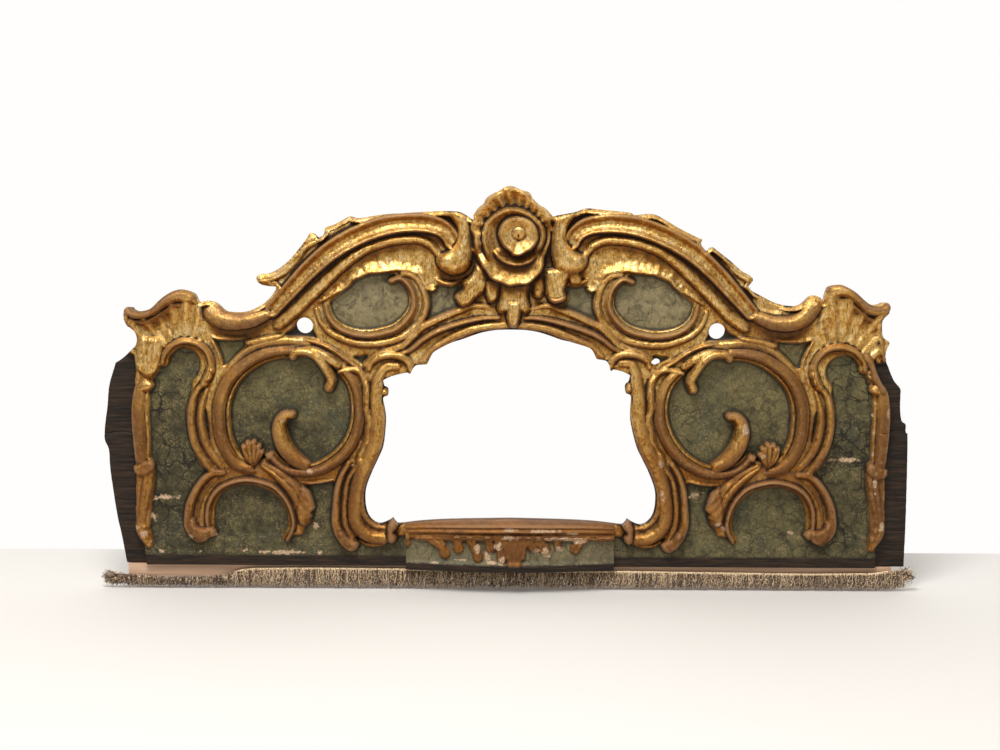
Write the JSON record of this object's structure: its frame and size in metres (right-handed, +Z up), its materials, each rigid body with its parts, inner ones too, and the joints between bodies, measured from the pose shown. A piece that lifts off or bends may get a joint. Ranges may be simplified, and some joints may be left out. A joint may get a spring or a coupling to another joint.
{
  "type": "overdoor panel",
  "caption": "Carved and gilded overdoor panel with an arched scroll crest, painted fields, an open middle, a bowed sill and a fringe along its foot.",
  "frame": {"origin": "point on the boards' flat back where the wall holds the panel, on its middle line and 600 mm above the boards' underside", "axes": "+X along the panel to the right as seen from the front, +Y into the wall, +Z up; the carving faces -Y"},
  "size_m": [1.617, 0.107, 0.81],
  "materials": {
    "gilt_wood": "worn leaf gilding over carved wood, with green marbled paint in the flat fields and bare dark wood at the ends",
    "painted_sill": "dark green paint, gilded mouldings, chipped to the ground",
    "softwood": "new planed softwood, unfinished",
    "fringe_thread": "old woven braid with cut threads"
  },
  "bodies": {
    "root": {"carved_panel": "gilt_wood", "sill": "painted_sill", "fringe_batten": "softwood", "fringe": "fringe_thread"}
  },
  "joints": []
}
